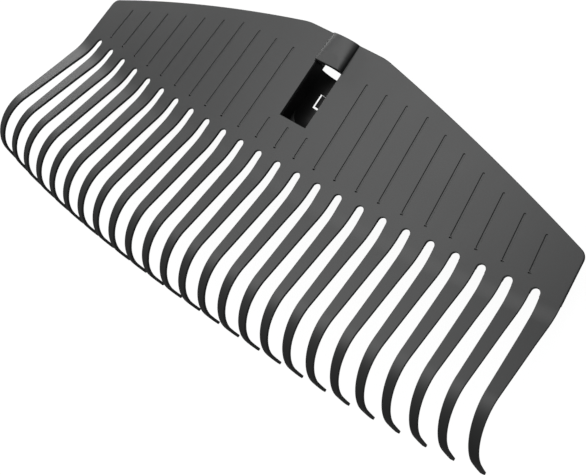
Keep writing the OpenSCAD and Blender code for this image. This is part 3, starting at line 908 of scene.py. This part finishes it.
# Closed outline of the bridge across the handle, at y and shrunk for a rounded end
def bridgeSection(y, shrink, atWindow):
    half, up = head["socketHalf"], y - head["windowHigh"]
    power = bridge["power"] + (bridge["crownPower"] - bridge["power"]) * (
        up / (head["crownY"] - head["windowHigh"]))
    facet = bridge["facetRise"] + up * (bridge["rise"] - bridge["facetRise"]) / bridge["facetLength"]
    # halving finds where the arch meets the facet
    low, high = 0.0, half
    for n in range(40):
        mid = (low + high) / 2
        low, high = (mid, high) if archHeight(mid, power) > facet else (low, mid)
    crease = max(bridge["leastFlat"], low)
    turn = math.acos(crease / half)
    left = [-half * math.cos(turn * n / bridge["flank"]) for n in range(bridge["flank"] + 1)]
    flat = [-crease + 2 * crease * n / bridge["flat"] for n in range(1, bridge["flat"])]
    outer = []
    for x in left + flat + [-x for x in reversed(left)]:
        z = min(archHeight(x, power), facet)
        lowered = shrink * min(1, z / bridge["fadeHeight"]) if atWindow else shrink
        outer.append((x, z + bow(x) * (1 if z < 0.01 else 0) - lowered))
    back = bow(bridge["outer"]) - head["wall"]
    legs = bridge["outer"] - shrink
    foot = -head["axisDepth"] + shrink
    inner = bridge["bore"] + shrink
    start, steps = math.asin(shrink / inner), bridge["boreSteps"]
    bore = [(inner * math.cos(a), inner * math.sin(a) - head["axisDepth"])
            for a in (start + (math.pi - 2 * start) * n / steps for n in range(steps + 1))]
    rightLeg = [(half, back), (legs, back), (legs, foot)]
    return outer + rightLeg + bore + [(-x, z) for x, z in reversed(rightLeg)]


def buildBridge():
    low, high = head["windowHigh"], head["crownY"]
    radius, rows = head["edgeRadius"], bridge["rows"]
    stations = [(low + d, depth, True) for d, depth in fillet]
    stations += [(low + radius + (high - low - 2 * radius) * n / rows, 0, n < rows / 2)
                 for n in range(1, rows)]
    stations += [(high - d, depth, False) for d, depth in reversed(fillet)]
    shape = bmesh.new()
    edgeLayer = shape.verts.layers.float.new("edge")
    sections = []
    for y, shrink, atWindow in stations:
        ring = []
        for x, z in bridgeSection(y, shrink, atWindow):
            vert = shape.verts.new(placed(x, y, z))
            # the edge weight on the rounded ends drives a painted highlight (sheen) in the material
            vert[edgeLayer] = min(1, shrink / radius * bridge["edgeSheenGain"])
            ring.append(vert)
        sections.append(ring)
    size = len(sections[0])
    for a, b in zip(sections, sections[1:]):
        for n in range(size):
            shape.faces.new((a[n], a[(n + 1) % size], b[(n + 1) % size], b[n]))
    shape.faces.new(sections[0])
    shape.faces.new(reversed(sections[-1]))
    mesh = bpy.data.meshes.new("frontBridge")
    shape.to_mesh(mesh)
    shape.free()
    outward(mesh)
    return mesh


bridgePiece = dressed(newPiece("frontBridge", buildBridge(), platePlastic), 30)
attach(bridgePiece, "head")
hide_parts("front_bridge")
print("bridge made")


# Socket pieces: the CAD shapes with their edges rounded
socket = {"weld": 0.002, "flatAngle": 0.6, "bevelAngle": 32, "segments": 3, "shellRounding": 0.5,
          "latchRounding": 0.3}


def softened(name, node, material, width):
    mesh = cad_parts[node].data.copy()
    mesh.name = name
    shape = bmesh.new()
    shape.from_mesh(mesh)
    bmesh.ops.remove_doubles(shape, verts=shape.verts, dist=socket["weld"] * mm)
    bmesh.ops.dissolve_limit(shape, angle_limit=math.radians(socket["flatAngle"]), verts=shape.verts,
                             edges=shape.edges)
    shape.to_mesh(mesh)
    shape.free()
    for layer in list(mesh.attributes):
        if layer.name in ("custom_normal", "UVMap"):
            mesh.attributes.remove(layer)
    mesh.materials.clear()
    piece = newPiece(name, mesh, material)
    rounding = piece.modifiers.new("rounding", "BEVEL")
    rounding.width = width * mm
    rounding.segments = socket["segments"]
    rounding.limit_method = "ANGLE"
    rounding.angle_limit = math.radians(socket["bevelAngle"])
    rounding.use_clamp_overlap = True
    settled(piece)
    return dressed(piece)


for name, node, body, width in (("rearSocket", "rear_socket", "head", "shellRounding"),
                                ("socketEnd", "socket_end", "head", "shellRounding"),
                                ("latchTongue", "latch_tongue", "latch", "latchRounding")):
    piece = softened(name, node, shadedSocketPlastic, socket[width])
    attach(piece, body)
    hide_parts(node)
print("socket made")


# Camera, in metres and degrees
lens = {"location": (0.7586, -0.2389, 1.0464), "rotation": (22.380, 26.101, 37.973), "focal": 88.2,
        "sensor": 36, "near": 0.01}
camera = bpy.data.objects.new("camera", bpy.data.cameras.new("camera"))
bpy.context.scene.collection.objects.link(camera)
camera.location = lens["location"]
camera.rotation_euler = [math.radians(a) for a in lens["rotation"]]
camera.data.lens = lens["focal"]
camera.data.sensor_width = lens["sensor"]
camera.data.clip_start = lens["near"]
bpy.context.scene.camera = camera


# Two lamps aimed at the middle of the rake, one high and one low, and a sun for the floor
studio = {"aim": (0, -0.12, 0), "world": 0.13,
          "keyLight": {"location": (-0.9, 0.6, 2.8), "size": (3.0, 2.2), "power": 70},
          "sideLight": {"location": (-2.2, 0.85, 0.42), "size": (1.0, 0.45), "power": 14},
          "floorLight": {"location": (0, 0, 3), "strength": 3.4, "angle": 0.5}}


def areaLight(name):
    values = studio[name]
    data = bpy.data.lights.new(name, "AREA")
    data.shape = "RECTANGLE"
    data.size, data.size_y = values["size"]
    data.energy = values["power"]
    lamp = bpy.data.objects.new(name, data)
    bpy.context.scene.collection.objects.link(lamp)
    lamp.location = values["location"]
    aim = Vector(studio["aim"]) - lamp.location
    lamp.rotation_euler = aim.to_track_quat("-Z", "Y").to_euler()
    return lamp


keyLight = areaLight("keyLight")
sideLight = areaLight("sideLight")
floorLight = bpy.data.objects.new("floorLight", bpy.data.lights.new("floorLight", "SUN"))
bpy.context.scene.collection.objects.link(floorLight)
floorLight.location = studio["floorLight"]["location"]
floorLight.data.energy = studio["floorLight"]["strength"]
floorLight.data.angle = studio["floorLight"]["angle"]


# Floor that curves up into a backdrop all round: radius and height of each loop, in metres
sweep = {"profile": ((0.6, 0), (1.5, 0), (2.6, 0), (3.2, 0.05), (3.8, 0.25), (4.2, 0.6), (4.45, 1.1),
                     (4.5, 2.6)), "gap": 0.0005, "sides": 96, "tone": 0.86}


def buildFloor():
    shape = bmesh.new()
    level, sides = cadBox[0].z - sweep["gap"], sweep["sides"]
    turns = [math.tau * n / sides for n in range(sides)]
    loops = []
    for radius, height in sweep["profile"]:
        loops.append([shape.verts.new((radius * math.cos(t), radius * math.sin(t), height + level))
                      for t in turns])
    centre = shape.verts.new((0, 0, level))
    for n in range(sides):
        m = (n + 1) % sides
        shape.faces.new((centre, loops[0][n], loops[0][m]))
        for a, b in zip(loops, loops[1:]):
            shape.faces.new((a[n], b[n], b[m], a[m]))
    mesh = bpy.data.meshes.new("floor")
    shape.to_mesh(mesh)
    shape.free()
    mesh.shade_smooth()
    return mesh


floorMaterial = bpy.data.materials.new("paleFloor")
floorMaterial.use_nodes = True
floorShader = floorMaterial.node_tree.nodes["Principled BSDF"].inputs
floorShader["Base Color"].default_value = (sweep["tone"], sweep["tone"], sweep["tone"], 1)
floorShader["Roughness"].default_value = 0.9
floorShader["Specular IOR Level"].default_value = 0.1
floor = newPiece("floor", buildFloor(), floorMaterial)
floor.visible_diffuse = False
floor.visible_glossy = False
floor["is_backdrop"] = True

# the floor has its own shadowless light, and the lamps on the rake leave the floor alone
onlyFloor = bpy.data.collections.new("onlyFloor")
onlyFloor.objects.link(floor)
onlyRake = bpy.data.collections.new("onlyRake")
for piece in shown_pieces():
    onlyRake.objects.link(piece)
floorLight.light_linking.receiver_collection = onlyFloor
floorLight.light_linking.blocker_collection = onlyFloor
for lamp in (keyLight, sideLight):
    lamp.light_linking.receiver_collection = onlyRake

world = bpy.data.worlds.new("studio")
bpy.context.scene.world = world
world.use_nodes = True
background = world.node_tree.nodes["Background"].inputs
background["Color"].default_value = (1, 1, 1, 1)
background["Strength"].default_value = studio["world"]
bpy.context.scene.view_settings.view_transform = "Standard"
print("stage made")
